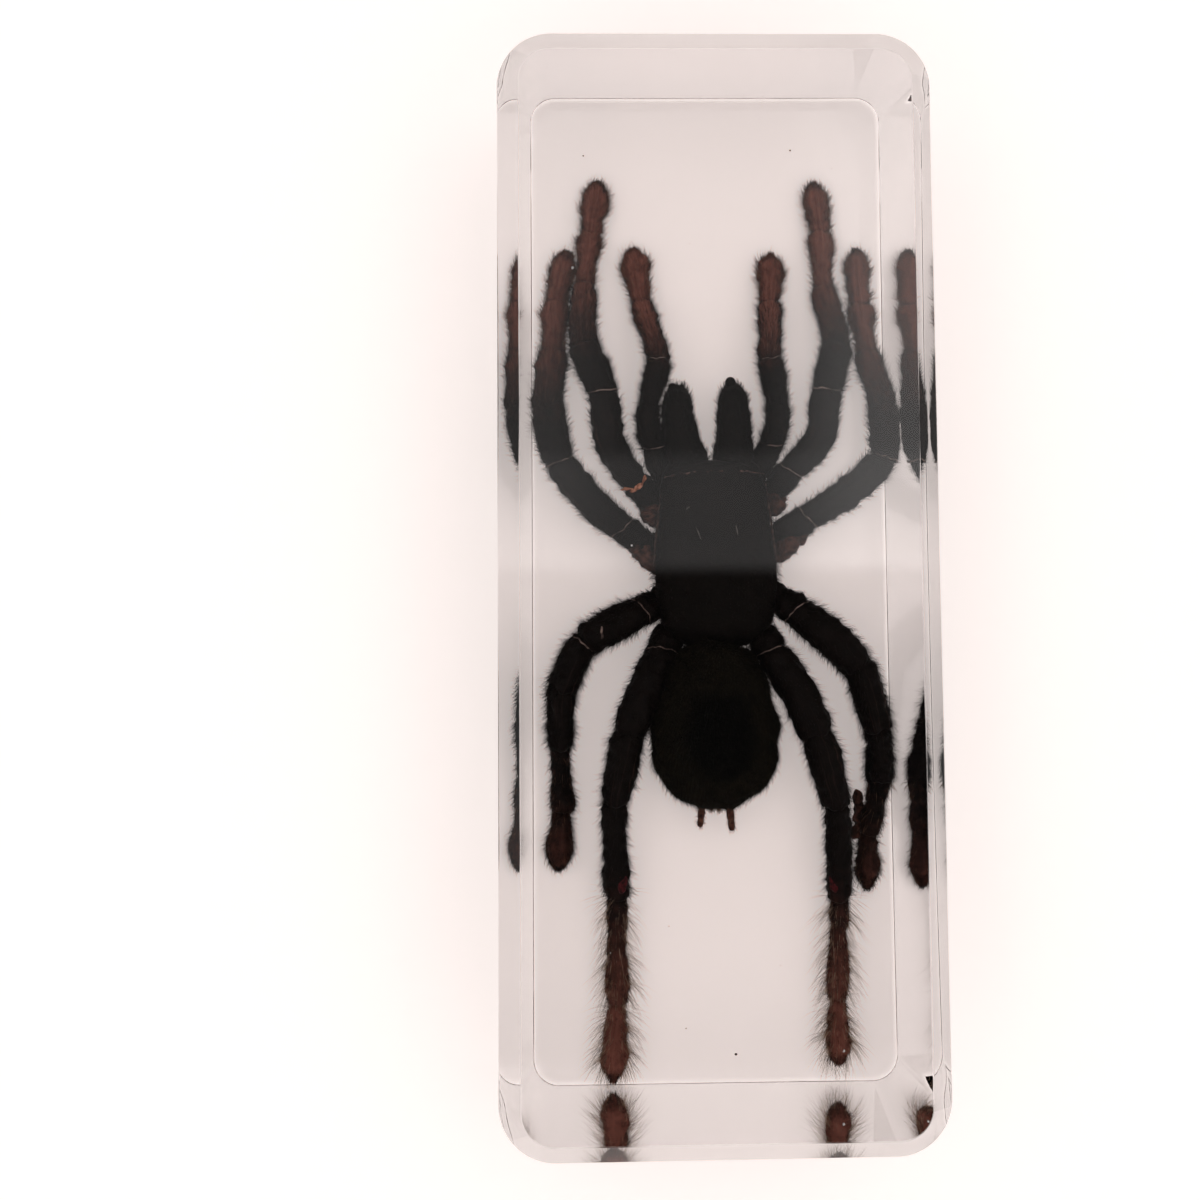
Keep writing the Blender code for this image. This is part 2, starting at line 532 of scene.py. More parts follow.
def hair_finish(name, dark, light, has_oval=False, **plain):
    """Hair: tone drifts between two browns from tuft to tuft. has_oval darkens the abdomen's
    oval patch."""
    shader = Shader(name, Roughness=0.55, Specular_IOR_Level=0.05, **plain)
    drift = shader.cloud(0.0012, 2.0)
    tone = shader.blend(shader.step(drift, 0.3, 0.7), (*dark, 1), (*light, 1))
    if has_oval:
        tone = shader.blend(outside_oval(shader), (0.0012, 0.0011, 0.0007, 1), tone)
    shader.paint(Base_Color=tone, Roughness=0.5 + drift * 0.2)


# Darkest and lightest tone of each, and the blotches' size in metres where it isn't 0.0007.
SKIN_TONES = (
    ("spinneret_skin", (0.030, 0.011, 0.008), (0.14, 0.055, 0.038)),
    ("coxa_skin", (0.010, 0.004, 0.003), (0.10, 0.038, 0.026), 0.0011),
    ("red_show_through", (0.010, 0.002, 0.002), (0.09, 0.010, 0.013)),
    ("rubbed_mark", (0.02, 0.016, 0.014), (0.14, 0.12, 0.11)),
    ("shield_rim", (0.008, 0.004, 0.003), (0.10, 0.055, 0.045)),
    ("fang_horn", (0.002, 0.0015, 0.0012), (0.010, 0.006, 0.005), 0.002),
    ("joint_membrane", (0.012, 0.008, 0.007), (0.26, 0.19, 0.165), 0.0011),
    ("torn_membrane", (0.16, 0.045, 0.02), (0.55, 0.24, 0.15), 0.0005),
    ("dust", (0.03, 0.02, 0.02), (0.08, 0.06, 0.05)),
    # The bubble tone is a painted glint: white that stands in for the light an air pocket reflects.
    ("bubble", (0.7, 0.7, 0.7), (0.9, 0.9, 0.9)),
)
HAIR_TONES = (
    ("dark_hair", (0.0022, 0.0014, 0.0010), (0.010, 0.0055, 0.004), {}),
    ("tan_hair", (0.06, 0.03, 0.019), (0.26, 0.155, 0.10), {}),
    ("fringe_hair", (0.25, 0.15, 0.09), (0.80, 0.60, 0.44), {"Alpha": 0.5}),
    ("dark_foot_hair", (0.006, 0.003, 0.0025), (0.045, 0.018, 0.012), {}),
    ("foot_hair", (0.030, 0.011, 0.008), (0.17, 0.065, 0.043), {}),
    ("olive_hair", (0.0026, 0.0021, 0.0011), (0.017, 0.0125, 0.0068), {"has_oval": True}),
)


# ---- the casting

def turned(vector, angles):
    """A flat vector turned by each of the angles."""
    x, y = vector
    cosine, sine = np.cos(angles), np.sin(angles)
    return np.stack((x * cosine - y * sine, x * sine + y * cosine), 1)


def rounded_profile(corners, radii, steps):
    """A line through corner points whose inner corners are arcs. Each arc is tangent to its
    two sides, starts radius times tan(turn / 2) before the corner and turns evenly.
    Returns points and their unit tangents."""
    corners = np.asarray(corners, float)
    points, tangents = [], []
    for before, corner, after, radius in zip(corners, corners[1:], corners[2:], radii):
        entering, leaving = unit(corner - before), unit(after - corner)
        turn = np.arctan2(
            entering[0] * leaving[1] - entering[1] * leaving[0], entering @ leaving)
        begin = corner - entering * radius * np.tan(abs(turn) / 2)
        middle = begin + np.sign(turn) * radius * np.array((-entering[1], entering[0]))
        angles = np.linspace(0, turn, steps + 1)
        points.append(middle + turned(begin - middle, angles))
        tangents.append(turned(entering, angles))
    return np.concatenate(points), np.concatenate(tangents)


def with_third(flat, third):
    """Rings of flat pairs, with one third number for each ring."""
    return np.concatenate(
        (flat, np.broadcast_to(third[:, None, None], flat.shape[:2] + (1,))), 2)


def resin_block():
    """The casting as a fine surface. Its profile runs from the base, up the leaning wall and
    over the chamfer to the viewing face, and is carried round a rectangle with round corners:
    point = corner centre + (corner radius + outward) times the corner's spoke. Flat faces
    keep flat normals, because every ring lies where a flat meets an arc or on the arc."""
    inward = 4.0    # how far the profile runs on over the base and the viewing face
    corners = (
        (-WALL_INSET - inward, 0.0), (-WALL_INSET, 0.0), (0.0, THICKNESS - CHAMFER_DEPTH),
        (-CHAMFER_WIDTH, THICKNESS), (-CHAMFER_WIDTH - inward, THICKNESS),
    )
    profile, tangent = rounded_profile(corners, (BASE_RADIUS, EDGE_RADIUS, EDGE_RADIUS), 6)
    outward, height = profile.T
    angle = np.linspace(0, pi / 2, CORNER_STEPS + 1)
    angles = np.concatenate([angle + quarter * pi / 2 for quarter in range(4)])
    spoke = np.stack((np.cos(angles), np.sin(angles)), 1)
    sign = np.repeat(((1, 1), (-1, 1), (-1, -1), (1, -1)), CORNER_STEPS + 1, axis=0)
    centres = sign * (np.array((WIDTH / 2, LENGTH / 2)) - CORNER_RADIUS)
    reach = (CORNER_RADIUS + outward)[:, None, None]
    surface = Skin(with_third(centres + reach * spoke, height))
    rising = with_third(spoke * tangent[:, None, :1], tangent[:, 1])
    turning = np.column_stack((-spoke[:, 1], spoke[:, 0], np.zeros(len(spoke))))
    normals = unit(np.cross(turning, rising)).reshape(-1, 3)
    mesh = fill_mesh(
        "clear_block", *surface.parts(), np.concatenate((normals, ((0, 0, -1), (0, 0, 1)))))
    block = show(mesh, "clear_resin")
    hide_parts("resin_block")


# ---- legs

def leg_line(stations):
    """One limb's places, the widths there, and the distance through the places at each. One
    more place is added inside the body."""
    stations = np.array(stations)
    places, widths = stations[:, :3], stations[:, 3]
    inner = places[0] + unit(BODY_MIDDLE - places[0]) * COXA_LENGTH
    places = np.concatenate(([inner], places))
    widths = np.concatenate(([widths[0] * 0.9], widths))
    marks = np.concatenate(([0.0], np.cumsum(np.linalg.norm(np.diff(places, axis=0), axis=1))))
    return places, widths, marks


def capped(part, start_cap, end_cap, power=2.0):
    """1 along a segment, falling to 0 as an ellipse over its start and end shares."""
    near = np.clip(1 - part / start_cap, 0, 1)
    far = np.clip((part - (1 - end_cap)) / end_cap, 0, 1)
    return (1 - near**power) ** (1 / power) * (1 - far**power) ** (1 / power)


# Moves the change from black to red-brown nearer the body where it is high, by pair of legs.
BROWNING = {"1": 1.05, "2": 1.02, "3": 0.68, "4": 0.875}
# Joints whose thin skin shows as a pale collar: t is the trochanter's end, k the knee.
COLLARS = {
    "leg_1_left": "k", "leg_1_right": "tk", "leg_2_left": "tk", "leg_2_right": "tk",
    "leg_3_left": "tk", "leg_3_right": "t", "leg_4_left": "t", "leg_4_right": "t",
    "palp_left": "t", "palp_right": "t",
}
# Swelling of each part, at shares of its length from the body out.
PROFILES = {
    "coxa": ((0, 1.0), (0.5, 1.05), (0.85, 1.0), (1, 0.9)),
    "trochanter": ((0, 0.9), (0.4, 1.0), (0.8, 1.03), (1, 0.92)),
    "femur": ((0, 0.86), (0.2, 1.0), (0.6, 1.05), (0.9, 1.03), (1, 0.93)),
    "patella": ((0, 0.88), (0.2, 1.0), (0.7, 1.07), (0.92, 1.0), (1, 0.84)),
    "tibia": ((0, 0.82), (0.15, 0.97), (0.5, 1.0), (0.8, 1.13), (0.93, 1.06), (1, 0.84)),
    "metatarsus": ((0, 0.84), (0.15, 0.92), (0.45, 0.88), (0.80, 1.16), (0.93, 1.04), (1, 0.74)),
    "tarsus": ((0, 0.66), (0.12, 0.86), (0.40, 0.98), (0.72, 1.10), (0.88, 1.0), (1, 0.8)),
}


def segment(places, widths, marks, begin, finish, part, seed, browning):
    """One leg segment between two distances along the leg's line. Its own line runs mostly
    straight from joint to joint. Its half width is the leg's, times the part's profile,
    times round caps, and its skin is rippled. A soft floor, height = floor + (d + root of
    (d squared + 0.09)) / 2 with d the height above it, keeps the feet inside the resin."""
    sink = 0.30 * np.interp(begin, marks, widths)
    spare = 0.12 * np.interp(finish, marks, widths)
    low, high = begin - sink, finish + spare
    share = (1 - np.cos(pi * np.linspace(0.012, 0.988, LIMB_ROWS))) / 2
    at = low + (high - low) * share
    own = (marks > begin + 0.3) & (marks < finish - 0.3)
    stops = np.concatenate(([begin], marks[own], [finish]))
    chord = flow_through(at, stops, flow_through(stops, marks, places))
    line = 0.7 * chord + 0.3 * flow_through(at, marks, places)
    width = np.interp(at, marks, widths)
    stops, factors = zip(*PROFILES[part])
    tip, power = (0.78, 1.85) if part == "tarsus" else (0.30, 2.1)
    half = width / 2 * flow_through(share, stops, factors) * capped(
        share, 1.6 * sink / (high - low), tip * width[-1] / (high - low), power)
    skin = Skin(ringed(line, half, half * 0.97, 2.1, LIMB_COLUMNS), browning * at / marks[-1])
    skin = skin.roughen(0.11, 2.0, seed).roughen(0.05, 0.7, seed + 100)
    above = skin.grid[..., 2] - FOOT_FLOOR
    skin.grid[..., 2] = FOOT_FLOOR + (above + np.sqrt(above**2 + 0.09)) / 2
    return skin


def collar(places, widths, marks, at, thick, swell, tilt):
    """Where a thin ring of skin lies round the leg, tilted about the leg's upright by tilt
    radians: its middle, its two spokes' directions, its axis, radius and thickness."""
    centre, ahead = flow_through(np.array([at, at + 0.05]), marks, places)
    heading = unit(ahead - centre)
    side = unit(np.cross(heading, UP))
    upward = np.cross(side, heading)
    side = side * np.cos(tilt) + heading * np.sin(tilt)
    radius = np.interp(at, marks, widths) / 2 * swell
    return centre, side, upward, np.cross(upward, side), radius, thick


def show_collars(name, rings):
    """One piece of several collars: each point is the centre, plus radius + r cos b along its
    spoke, plus r sin b along the leg."""
    columns, tube = 56, 10
    a = 2 * pi * np.arange(columns)[:, None] / columns
    b = 2 * pi * np.arange(tube) / tube
    i, j = (index.ravel() for index in np.indices((columns, tube)))
    ii, jj = (i + 1) % columns, (j + 1) % tube
    plan = np.stack((i * tube + j, ii * tube + j, ii * tube + jj, i * tube + jj), 1)
    points, quads = [], []
    for index, (centre, side, upward, heading, radius, thick) in enumerate(rings):
        start = index * columns * tube
        spoke = side * np.cos(a) + upward * np.sin(a)
        rough = 0.06 * ripple(centre + spoke * radius, 1.1, start + 7)
        reach = (radius + rough)[:, None] + thick * 0.6 * np.cos(b)
        ring = centre + spoke[:, None] * reach[..., None]
        ring = ring + heading * (thick * np.sin(b))[None, :, None]
        ring = (ring + heading * (1.5 * rough)[:, None, None]).reshape(-1, 3)
        faces = plan
        if signed_volume(ring - centre, faces, np.zeros((0, 3), int)) < 0:
            faces = faces[:, ::-1]
        points.append(ring)
        quads.append(faces + start)
    mesh = fill_mesh(name, np.concatenate(points), np.concatenate(quads), [])
    show(mesh, "joint_membrane")


def side_weight(angle):
    """Hair grows thickest on a limb's two flanks and thin underneath. The ring's first
    column is underneath."""
    return 0.55 + 0.45 * np.abs(np.sin(angle))


def flank_weight(angle):
    """Long bristles stand on the two flanks only."""
    return 0.04 + np.abs(np.sin(angle)) ** 4


def crown_weight(angle):
    """Hairs that lie along the top of a limb; the ring's far side from its first column."""
    return smooth_step(0.4, 0.9, -np.cos(angle)) + 0.01


def lower_end(along):
    """Hairs that thicken from the middle of a segment to its outer end."""
    return smooth_step(0.40, 1.0, (along - along[0]) / (along[-1] - along[0]))


def claws(tarsus):
    """Two hooked claws at a foot's tip: cones whose line bends down by the square of the
    share along it."""
    end = tarsus.grid[-1].mean(axis=0)
    ahead = unit(end - tarsus.grid[-8].mean(axis=0))
    side = unit(np.cross(ahead, UP))
    share = np.linspace(0.0, 1.0, 12)[:, None]
    hooks = []
    for sign in (-1, 1):
        line = end - ahead * 0.3 + sign * side * 0.28 + ahead * 0.95 * share
        line = line + sign * side * 0.12 * share - np.array((0, 0, 0.35)) * share**2
        taper = 0.14 * (1 - share[:, 0]) ** 0.8 + 0.012
        hooks.append(Skin(ringed(line, taper, taper, 2.0, 10)))
    return hooks


def leg(name, stations, seed):
    """One limb: its segments, the pale collars at its joints, and its hair."""
    rng = np.random.default_rng(seed)
    limb = places, widths, marks = leg_line(stations)
    is_palp = "palp" in name
    parts = [part for part in PROFILES if not (is_palp and part == "metatarsus")]
    joints = [0.0, *marks[1:3], *marks[4:-1], marks[-1] - 0.1 * widths[-1]]
    browning = 1.10 if is_palp else BROWNING[name[4]]
    skins = {
        part: segment(*limb, begin, finish, part, seed * 10 + index, browning)
        for index, (part, begin, finish) in enumerate(zip(parts, joints, joints[1:]))
    }
    show_skins(name, skins.values(), "leg_cuticle")

    lean = np.sign(places[2][0]) * (-1 if name[4] in "34" else 1)
    rings = [
        collar(*limb, *shape) for wanted, *shape in (
            ("t" in COLLARS[name], marks[2] + 0.15, 0.09, 1.0, 0.25 * lean),
            ("k" in COLLARS[name], marks[4], 0.10, 1.0, 0.12 * lean),
            (name == "leg_3_left", marks[4] - 2.9, 0.16, 0.985, -0.45),
            (is_palp, marks[5], 0.06, 0.94, 0.0))
        if wanted
    ]
    show_collars(name + "_collars", rings)
    show_skins(name + "_claws", claws(skins["tarsus"]), "fang_horn")

    hind, third = "leg_4" in name, "leg_3" in name
    dark, brush, tan = [], [], []

    def grow(tufts, part, count, length, lean, thickness, **how):
        tufts.append(comb(skins[part], count, rng, length, lean, thickness, **how))

    felt = {"round_weight": side_weight, "bent": False}
    bristle = {"round_weight": flank_weight, "bent": False}
    for part in parts[1:5]:         # trochanter to tibia
        grow(dark, part, 1300, (0.5, 1.15), 1.0, 0.050, sway=0.3, **felt)
    for part in parts[2:5]:
        grow(dark, part, 1300 if third else 900, (0.9, 2.1), 0.85, 0.042, sway=0.4, **bristle)
    fringe = 600 if hind else 150 if third else 420
    for part in parts[5:]:
        grow(tan, part, fringe, (2.0, 5.2) if hind else (1.0, 2.2), 0.90, 0.036,
             round_weight=flank_weight, sway=0.22)
        fades = hind and part == "metatarsus"
        grow(brush, part, 1800, (0.4, 1.0), 0.95, 0.050, sway=0.35,
             down_weight=lower_end if fades else np.ones_like, **felt)
        if fades:
            grow(dark, part, 1600, (0.4, 1.0), 0.95, 0.050, sway=0.35,
                 down_weight=lambda along: 1 - lower_end(along), **felt)
        grow(brush, part, 160 if hind else 500, (0.9, 1.7), 0.8, 0.045, sway=0.45, **bristle)
    if not third:
        grow(tan, "metatarsus" if hind else "tibia", 70, (1.2, 3.0), 1.40, 0.028,
             round_weight=crown_weight, sway=0.10)
    grow(brush, "tarsus", 900, (0.35, 0.8), 0.9, 0.055, bent=False,
         down_weight=lambda along: smooth_step(along[-1] - 0.03, along[-1], along))
    for tuft, hairs, finish in (
            ("_dark_hair", dark, "dark_hair"),
            ("_tan_hair", tan, "fringe_hair" if hind else "tan_hair"),
            ("_foot_hair", brush, "dark_foot_hair" if third else "foot_hair")):
        show_hair(name + tuft, hairs, finish)


# ---- body

def body_part(stations, rows, squareness, columns):
    """A skin along Y from (y, centre x, centre z, half width, half height) stations."""
    stations = np.array(stations, float)
    share = (1 - np.cos(pi * np.linspace(0.0, 1.0, rows))) / 2
    reach = stations[:, 0]
    stops = (reach - reach[0]) / (reach[-1] - reach[0])
    read = flow_through(share, stops, stations)
    wide, high = np.maximum(read[:, 3:], 0.02).T
    return Skin(ringed(read[:, [1, 0, 2]], wide, high, squareness, columns))


def carapace(rng):
    """The shield over the fore body: a squarish outline, domed, with a raised head, a pit in
    the middle and grooves that run from it towards the legs."""
    shield = body_part((
        (16.6, -0.1, 6.4, 5.6, 1.2), (16.0, -0.1, 6.6, 6.6, 3.0), (14.0, 0.0, 6.8, 7.3, 4.0),
        (10.0, 0.15, 6.9, 7.8, 4.2), (5.0, 0.3, 6.8, 8.3, 3.9), (0.0, 0.45, 6.7, 8.6, 3.7),
        (-4.0, 0.5, 6.5, 8.3, 3.4), (-7.5, 0.5, 6.3, 6.9, 2.6), (-9.3, 0.5, 6.0, 4.2, 1.2),
    ), 90, 2.7, 96)
    grid = shield.grid
    upper = grid[..., 2] > 6.3
    away = grid[..., :2] - (0.4, 2.6)      # from the pit
    distance = np.linalg.norm(away, axis=-1)
    bearing = np.arctan2(away[..., 0], away[..., 1])
    groove = np.clip(np.cos(bearing * 4.0 + pi), 0, 1) ** 10 * smooth_step(0.6, 2.0, distance)
    groove = groove * (1 - smooth_step(5.0, 7.5, distance))
    drop = 0.35 * groove + 0.8 * np.exp(-((away[..., 0] / 1.3) ** 2 + (away[..., 1] / 0.5) ** 2))
    grid[..., 2] -= np.where(upper, drop, 0.0)
    shield.roughen(0.07, 2.2, 41).roughen(0.03, 0.7, 42)
    eyes = [
        ball(place, (0.34, 0.34, 0.28), 10, 16) for place in (
            (-0.75, 15.1, 10.45), (0.55, 15.1, 10.45), (-1.25, 14.5, 10.35), (1.05, 14.5, 10.35))
    ]
    mound = ball((-0.1, 14.7, 10.1), (1.7, 1.0, 0.55))
    show_skins("carapace", [shield, mound] + eyes, "body_cuticle")
    felt = comb(
        shield, 9000, rng, (0.3, 0.7), 1.25, 0.045, bent=False,
        round_weight=lambda angle: 0.2 + smooth_step(-0.4, 0.3, -np.cos(angle)), flow=-1.0)
    fringe = comb(
        shield, 2600, rng, (0.8, 1.7), 0.5, 0.05,
        round_weight=lambda angle: np.abs(np.sin(angle)) ** 6, sway=0.4)
    show_hair("carapace_hair", [felt, fringe], "dark_hair")


def jaw(name, stations, knob_at, knob_radius, rng, seed):
    """One chelicera: a thick lobe that narrows and droops forward, with a folded fang under
    its tip."""
    lobe = body_part(stations, 60, 2.3, 64).roughen(0.08, 1.8, seed)
    tip = np.array(stations[-2])
    share = np.linspace(0, 1, 24)
    bend = np.stack((
        np.full(24, tip[1]), tip[0] - 0.4 - 4.2 * share, tip[2] - 2.2 - 1.4 * np.sin(pi * share),
    ), 1)
    fang = Skin(ringed(bend, 0.55 * (1 - share) + 0.04, 0.6 * (1 - share) + 0.04, 2.0, 20))
    knob = ball(knob_at, np.array((1.0, 1.1, 1.2)) * knob_radius, 16, 22)
    show_skins(name, [lobe, knob], "body_cuticle")
    show_skins(name + "_fang", [fang], "fang_horn")
    felt = comb(lobe, 5200, rng, (0.45, 1.0), 1.0, 0.05, bent=False)
    tuft = comb(
        lobe, 900, rng, (0.8, 1.6), 0.8, 0.05,
        down_weight=lambda along: 0.25 + smooth_step(0.7, 1.0, along))
    show_hair(name + "_hair", [felt, tuft], "dark_hair")


def abdomen(rng):
    """The egg-shaped hind body, widest behind its middle, and the four spinnerets."""
    egg = body_part((
        (-8.6, 0.3, 6.2, 1.2, 1.0), (-9.6, 0.25, 6.4, 4.2, 3.2), (-12.0, 0.15, 6.8, 6.4, 5.0),
        (-17.0, 0.0, 7.2, 8.2, 6.1), (-22.5, -0.1, 7.2, 9.0, 6.3), (-27.0, -0.15, 6.9, 8.0, 5.8),
        (-29.9, -0.2, 6.4, 5.3, 4.4), (-31.1, -0.2, 6.0, 2.6, 2.4), (-31.6, -0.2, 5.9, 0.6, 0.8),
    ), 90, 2.15, 96).roughen(0.16, 4.5, 51).roughen(0.04, 1.0, 52)
    show_skins("abdomen", [egg], "abdomen_skin")
    velvet = comb(egg, 26000, rng, (0.5, 1.1), 1.1, 0.045, bent=False)
    long = comb(egg, 3200, rng, (1.0, 1.9), 0.9, 0.045)
    show_hair("abdomen_hair", [velvet, long], "olive_hair")

    stalks = []
    for x, y, length, width, lean in (
            (-1.7, -31.2, 4.0, 1.25, -0.10), (2.0, -30.9, 4.9, 1.35, 0.10),
            (-0.5, -31.4, 1.4, 0.7, 0.0), (0.6, -31.4, 1.5, 0.7, 0.0)):
        share = np.linspace(0, 1, 30)
        knuckle = 1 - 0.16 * sum(np.exp(-((share - at) / 0.05) ** 2) for at in (0.38, 0.70))
        line = np.stack((
            x + lean * length * share, y - length * share, 4.6 - 0.9 * share), 1)
        half = width / 2 * (1 - 0.35 * share) * knuckle * capped(share, 0.05, 0.12)
        stalks.append(Skin(ringed(line, half + 0.01, half + 0.01, 2.0, 28)))
    show_skins("spinnerets", stalks, "spinneret_skin")
    tufts = [comb(stalk, 260, rng, (0.4, 0.9), 0.9, 0.045, sway=0.4) for stalk in stalks]
    show_hair("spinneret_hair", tufts, "tan_hair")


def underside():
    """The plate between the coxae, the waist behind it and the lip in front."""
    plate = body_part((
        (12.5, 0.0, 3.6, 2.0, 0.6), (8.0, 0.1, 3.3, 4.4, 1.1), (1.0, 0.3, 3.2, 5.4, 1.2),
        (-5.0, 0.4, 3.5, 3.6, 1.0), (-8.0, 0.4, 4.0, 0.8, 0.5),
    ), 50, 2.4, 56).roughen(0.06, 2.0, 61)
    lip = ball((0.0, 14.2, 3.9), (1.9, 2.2, 1.0))
    waist = ball((0.4, -8.9, 5.6), (1.3, 2.2, 1.2))
    show_skins("sternum", [plate, lip, waist], "body_cuticle")


def coxae(rng):
    """Red-brown hip joints that swell out between the shield's edge and the legs."""
    share = np.linspace(0.0, 1.0, 36)[:, None]
    swells = []
    for index, (start, end, half) in enumerate((
            ((-7.4, 1.0, 5.6), (-12.4, 7.0, 6.0), 1.55), ((8.6, 2.6, 5.6), (13.6, 7.7, 6.0), 1.55),
            ((-7.2, 8.0, 5.6), (-9.4, 11.2, 6.0), 1.7), ((7.9, 9.4, 5.6), (9.9, 12.4, 6.0), 1.7))):
        line = np.array(start) * (1 - share) + np.array(end) * share
        width = half * capped(share[:, 0], 0.55, 0.45) + 0.02
        swells.append(Skin(ringed(line, width, width * 1.05, 2.1, 36))
                      .roughen(0.16, 1.5, 81 + index).roughen(0.05, 0.6, 181 + index))
    show_skins("coxae", swells, "coxa_skin")
    tufts = [
        comb(swell, 700, rng, (0.5, 1.3), 0.8, 0.045, bent=False, sway=0.5) for swell in swells]
    show_hair("coxae_hair", tufts, "dark_foot_hair")


# ---- small things in the resin

def bar(share, x, y, height, reach, turn):
    """A level line through (x, y) that points along turn and reaches reach each way."""
    away = (share - 0.5) * 2 * reach
    return np.stack((x + np.cos(turn) * away, y + np.sin(turn) * away, height + 0 * share), 1)


def torn_spot():
    """The torn skin on the first left leg's trochanter: a few curled orange flakes."""
    share = np.linspace(0.02, 0.98, 20)
    flakes = []
    for x, y, z, long, wide, turn in (
            (-10.6, 13.3, 8.75, 0.95, 0.38, 0.70), (-9.75, 14.4, 8.5, 0.65, 0.28, 1.25),
            (-12.2, 13.0, 8.45, 0.95, 0.20, 0.12), (-11.3, 12.8, 8.55, 0.6, 0.24, 0.3)):
        line = bar(share, x, y, z + 0.25 * np.sin(pi * share), long, turn)
        half = wide * np.sin(pi * share) ** 0.7
        flakes.append(Skin(ringed(line, half, half * 0.35, 2.0, 20)).roughen(0.05, 0.6, 71))
    show_skins("torn_skin", flakes, "torn_membrane")


def blemishes():
    """The bare lump beside the third right foot, the red show-through on the hind tibiae,
    and the rubbed marks and rims of the shield."""
    share = np.linspace(0.0, 1.0, 40)
    line = np.stack((
        flow_through(share, (0, 0.4, 0.75, 1), (20.5, 20.9, 20.5, 20.2)),
        -30.4 - 7.0 * share, 2.6 - 0.6 * share), 1)
    half = 0.72 * capped(share, 0.16, 0.10) * (1 - 0.45 * np.exp(-((share - 0.70) / 0.06) ** 2))
    lump = Skin(ringed(line, half + 0.01, half * 0.9 + 0.01, 2.0, 28)).roughen(0.09, 0.9, 91)
    show_skins("loose_lump", [lump], "coxa_skin")
    red = [
        ball(place, (0.75, 1.8, 0.5), 16, 20).roughen(0.05, 0.6, 92)
        for place in ((-13.3, -42.1, 5.9), (16.7, -42.4, 5.8))
    ]
    show_skins("tibia_red", red, "red_show_through")
    arch = np.sin(pi * np.clip(share, 0.03, 0.97))
    half = 0.10 * arch**0.6
    marks = [
        Skin(ringed(bar(share, x, y, 10.92, long, turn), half, half * 1.6, 2.0, 12))
        for x, y, long, turn in (
            (-2.2, 6.6, 0.95, 1.95), (3.2, 7.0, 0.8, 1.75), (-0.6, 11.0, 0.5, 1.3),
            (-3.7, 10.2, 0.4, 0.7), (2.2, 12.4, 0.4, 2.4))
    ]
    show_skins("shield_marks", marks, "rubbed_mark")
    half = 0.16 * arch**0.5
    rims = [
        Skin(ringed(flow_through(share, np.linspace(0, 1, 4), stops), half, half, 2.0, 12))
        .roughen(0.05, 0.5, 93)
        for stops in (
            ((-6.9, 14.6, 9.5), (-3.0, 15.2, 10.5), (3.0, 15.4, 10.5), (7.3, 15.0, 9.5)),
            ((-7.3, 12.8, 8.6), (-7.9, 8.0, 8.3), (-8.3, 4.0, 8.1), (-8.5, 1.5, 7.9)),
            ((7.6, 13.6, 8.6), (8.3, 8.0, 8.3), (8.8, 4.0, 8.1), (9.0, 2.0, 7.9)))
    ]
    show_skins("shield_rim", rims, "shield_rim")


def specks():
    """Dust and tiny bubbles that the resin set around, the bubbles as white balls whose colour is a
    painted glint: x, y, z and radius of each.
    """
    for name, finish, shape, rows, columns, places in (
            ("dust_specks", "dust", (1.0, 0.8, 0.9), 8, 10, (
                (-18.1, 60.3, 12.0, 0.13), (11.7, 61.7, 9.0, 0.14), (2.0, -64.4, 12.0, 0.20),
                (-4.6, -61.9, 8.0, 0.10), (17.0, 58.0, 14.0, 0.08), (-3.0, 48.0, 10.0, 0.07),
                (8.0, -52.0, 15.0, 0.08), (-7.0, -47.0, 13.0, 0.07))),
            ("bubbles", "bubble", (1.0, 1.0, 1.0), 10, 14, (
                (-19.8, 45.6, 3.4, 0.22), (17.9, -66.6, 3.0, 0.20), (-11.6, 5.0, 9.0, 0.14),
                (22.0, 12.0, 16.0, 0.07), (-15.0, -52.0, 6.0, 0.08)))):
        balls = [
            ball(place, np.array(shape) * radius, rows, columns) for *place, radius in places]
        show_skins(name, balls, finish)


# ---- stage

FLOOR_SIZE = 12.0
FLOOR_HEIGHT = -0.0003
FLOOR_GLOW = 0.45        # keeps the floor white as seen through the resin


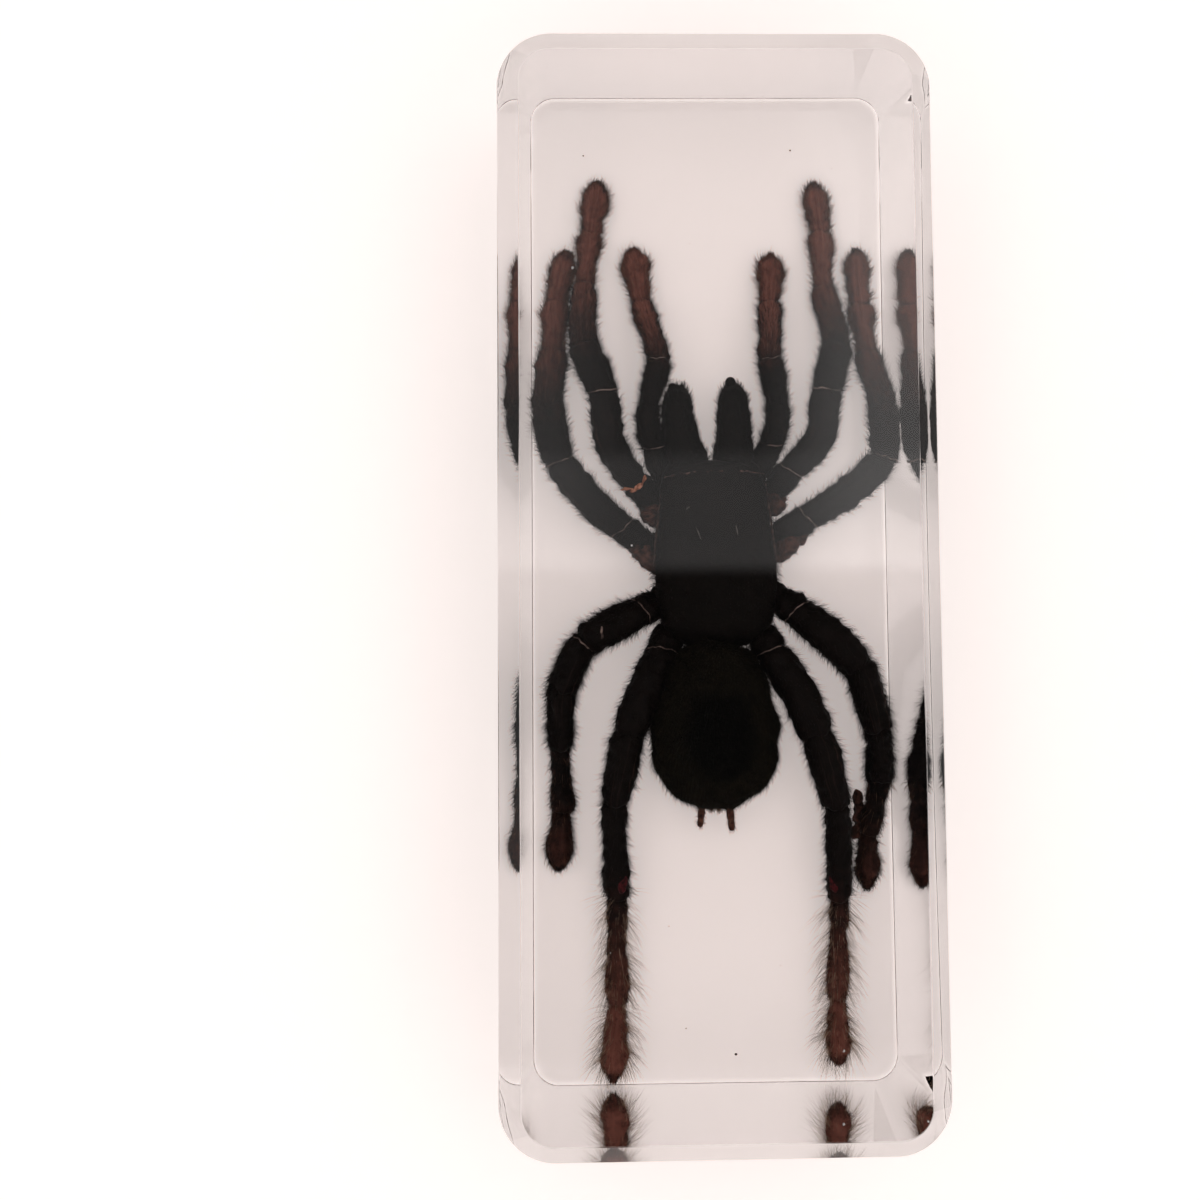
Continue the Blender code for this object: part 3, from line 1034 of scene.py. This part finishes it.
def stage():
    """Pale floor just under the base, soft studio light, and the camera over the block."""
    bpy.ops.mesh.primitive_plane_add(size=FLOOR_SIZE, location=(0, 0, FLOOR_HEIGHT))
    floor = bpy.context.object
    floor.name = "floor"
    paper = Shader("floor_paper", Roughness=0.85, Specular_IOR_Level=0.2)
    fibre = paper.cloud(0.002, 4.0)
    tone = paper.blend(fibre, (0.83, 0.77, 0.745, 1), (0.86, 0.80, 0.775, 1))
    paper.paint(Base_Color=tone, Emission_Color=tone, Emission_Strength=FLOOR_GLOW)
    floor.data.materials.append(paper.owner)

    # The light overhead is dark to the south, so only the head half of the viewing face is
    # veiled by its image.
    sky = Shader("studio", bpy.data.worlds)
    east, north, up = sky.split(sky.add("ShaderNodeTexCoord", output="Generated"))
    glow = 0.30 + sky.step(east, 0.13, 0.24) * 1.3 + sky.step(east * -1.0, -0.03, 0.05) * 0.35
    glow = glow + sky.step(north * -1.0, -0.085, -0.065) * 0.33
    overhead = 0.025 + glow * sky.step(north, -0.030, -0.013)
    sides = sky.step(up, 0.30, 0.65) * 0.92 + 0.48
    strength = sky.add("ShaderNodeMix", {"data_type": "FLOAT"}, {
        0: sky.step(up, 0.80, 0.87), 2: sides, 3: overhead})
    background = sky.nodes["Background"].inputs
    sky.feed(background["Strength"], strength)
    sky.feed(background["Color"], (1.0, 0.965, 0.955, 1))
    bpy.context.scene.world = sky.owner

    lens = bpy.data.cameras.new("viewer")
    lens.sensor_width = 36.0
    lens.lens = 35.0
    lens.shift_x, lens.shift_y = -0.02, -0.10
    lens.clip_start = 0.01
    camera = bpy.data.objects.new("viewer", lens)
    camera.location = (-0.0163, 0.0052, cad_high[2] + 0.1546)
    camera.rotation_euler = (radians(3.152), radians(-1.252), radians(-0.444))
    bpy.context.scene.collection.objects.link(camera)
    bpy.context.scene.camera = camera
    bpy.context.scene.view_settings.view_transform = "Standard"


LEG_SEED, BODY_SEED = 11, 5


def main():
    """Finishes first, then the casting, the specimen and the stage."""
    for finish in (clear_resin, leg_cuticle, body_cuticle, abdomen_skin):
        finish()
    for tones in SKIN_TONES:
        soft_skin(*tones)
    for name, dark, light, extras in HAIR_TONES:
        hair_finish(name, dark, light, **extras)
    resin_block()
    for index, (name, stations) in enumerate(LEGS.items()):
        leg(name, stations, LEG_SEED + index)
    rng = np.random.default_rng(BODY_SEED)
    carapace(rng)
    jaw("chelicera_left", (
        (14.8, -3.1, 6.2, 2.2, 2.4), (16.2, -3.3, 6.2, 2.8, 3.4), (20.0, -4.3, 6.2, 2.5, 3.6),
        (24.0, -4.8, 5.8, 2.15, 3.3), (26.7, -4.7, 5.2, 1.6, 2.6), (27.9, -4.6, 4.9, 0.7, 0.9),
    ), (-5.5, 27.7, 6.0), 0.62, rng, 43)
    jaw("chelicera_right", (
        (14.8, 3.1, 6.2, 2.2, 2.4), (16.2, 3.2, 6.2, 2.75, 3.4), (20.0, 3.3, 6.2, 2.5, 3.6),
        (24.0, 3.3, 5.8, 2.2, 3.3), (26.9, 3.2, 5.2, 1.6, 2.6), (28.1, 3.1, 4.9, 0.6, 0.9),
    ), (2.9, 28.35, 6.0), 0.78, rng, 44)
    abdomen(rng)
    underside()
    coxae(rng)
    blemishes()
    torn_spot()
    specks()
    stage()


main()
